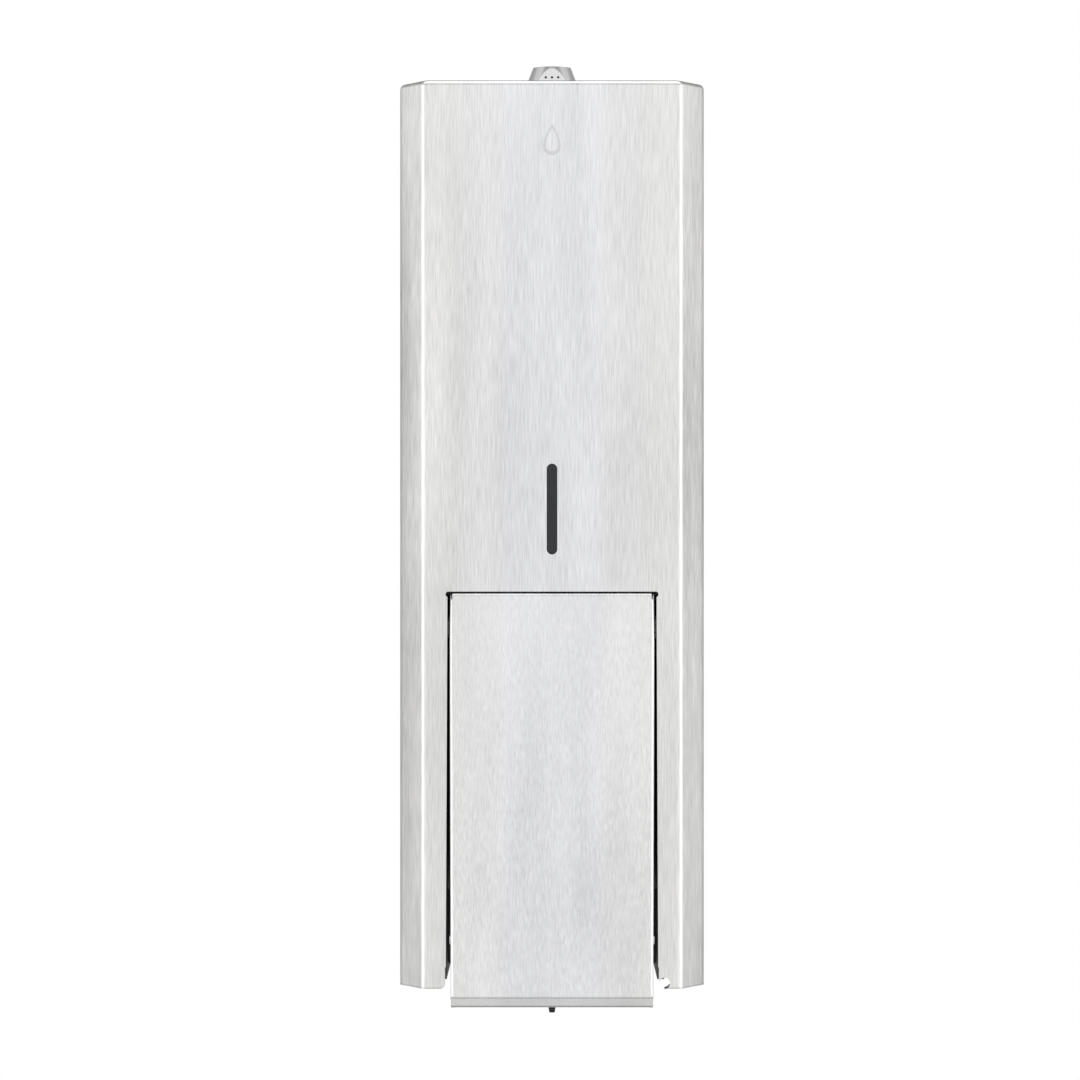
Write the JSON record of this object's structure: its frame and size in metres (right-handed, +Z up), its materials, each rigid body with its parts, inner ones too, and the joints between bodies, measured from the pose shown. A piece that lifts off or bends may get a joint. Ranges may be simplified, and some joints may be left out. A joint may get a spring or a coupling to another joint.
{
  "type": "wall mounted soap dispenser",
  "caption": "Tall wall mounted soap dispenser with a brushed steel cover, chamfered long sides, a key lock on top, a level slot and a wide push lever over the spout.",
  "frame": {"origin": "centre of the back plate's wall face, midway between the cover's top and bottom edges and its two sides", "axes": "+Z up, -Y towards the user, so the front faces -Y and the wall is the plane y = 0; +X to the right seen from the front"},
  "size_m": [0.11, 0.1296, 0.3476],
  "materials": {
    "brushed_cover": "vertical satin grain",
    "brushed_lever": "vertical satin grain",
    "chrome": "polished",
    "galvanised_steel": "zinc plated sheet",
    "zinc_fastener": "bright zinc",
    "spring_steel": "drawn",
    "stainless_pin": "turned",
    "black_housing": "fine grained",
    "container_plastic": "smoke grey, blown",
    "dark_lens": "polished, smoke",
    "white_plastic": "machined acetal",
    "grey_plastic": "moulded",
    "black_rubber": "matt",
    "pale_rubber": "matt",
    "brass": "turned"
  },
  "bodies": {
    "wall_unit": {"back_plate": "galvanised_steel", "hinge_pins": "stainless_pin", "catch_clips": "spring_steel", "clip_rivets": "zinc_fastener", "lock_striker": "galvanised_steel", "striker_rivets": "zinc_fastener", "container": "container_plastic", "container_well": "container_plastic", "container_lid": "container_plastic", "container_gasket": "black_rubber", "lever_carrier": "black_housing", "carrier_screws": "zinc_fastener", "bumper_pads": "black_rubber", "lever_axle": "stainless_pin", "axle_clips": "spring_steel", "pump_body": "white_plastic", "pump_screws": "zinc_fastener", "inlet_seat": "grey_plastic", "gland_nut": "grey_plastic", "gland_o_ring": "black_rubber", "spout_tube": "stainless_pin", "spout_nut": "brass", "spout_tip": "black_rubber"},
    "cover": {"cover_shell": "brushed_cover", "window_lens": "dark_lens", "window_retainer": "galvanised_steel", "window_studs": "zinc_fastener", "stud_nuts": "zinc_fastener", "lock_housing": "chrome", "lock_washer": "spring_steel", "lock_nut": "zinc_fastener"},
    "lock": {"lock_plug": "chrome", "lock_cam": "zinc_fastener", "cam_screw": "zinc_fastener"},
    "lever": {"lever_plate": "brushed_lever", "lever_bushes": "white_plastic", "cross_pin": "stainless_pin", "pin_clips": "spring_steel"},
    "roller": {"pusher_roller": "white_plastic"},
    "plunger": {"plunger_head": "grey_plastic", "plunger_rod": "stainless_pin", "piston_seal": "black_rubber", "return_spring": "spring_steel"},
    "seal": {"cap_seal": "pale_rubber"},
    "cap": {"filler_cap": "grey_plastic"},
    "ball": {"inlet_ball": "stainless_pin"}
  },
  "joints": [
    {"name": "cover_hinge", "type": "hinge", "parent": "wall_unit", "child": "cover", "pos_m": [0, -0.011, -0.153], "axis": [1, 0, 0], "range_deg": [0, 80]},
    {"name": "lock_turn", "type": "hinge", "parent": "cover", "child": "lock", "pos_m": [0, -0.056, 0.163], "axis": [0, 0, -1], "range_deg": [0, 90]},
    {"name": "lever_hinge", "type": "hinge", "parent": "wall_unit", "child": "lever", "pos_m": [0, -0.098, -0.0335], "axis": [1, 0, 0], "range_deg": [0, 7.5]},
    {"name": "roller_spin", "type": "hinge", "parent": "lever", "child": "roller", "pos_m": [0, -0.11773, -0.14493], "axis": [1, 0, 0], "continuous": true},
    {"name": "plunger_slide", "type": "slide", "parent": "wall_unit", "child": "plunger", "axis": [0, 1, 0], "range_m": [0, 0.0149], "stiffness_N_per_m": 600, "springref_m": -0.012, "deforming": ["return_spring"]},
    {"name": "cap_rise", "type": "slide", "parent": "wall_unit", "child": "seal", "axis": [0, 0, 1], "range_m": [0, 0.0061]},
    {"name": "cap_turn", "type": "hinge", "parent": "seal", "child": "cap", "pos_m": [0, -0.05, 0.12], "axis": [0, 0, 1], "range_deg": [0, 270]},
    {"name": "ball_lift", "type": "slide", "parent": "wall_unit", "child": "ball", "axis": [0, 0, 1], "range_m": [0, 0.0012]}
  ],
  "couplings": [
    {"joint": "plunger_slide", "follows": "lever_hinge", "m_per_rad": 0.1124},
    {"joint": "cap_rise", "follows": "cap_turn", "m_per_rad": 0.0012732}
  ]
}
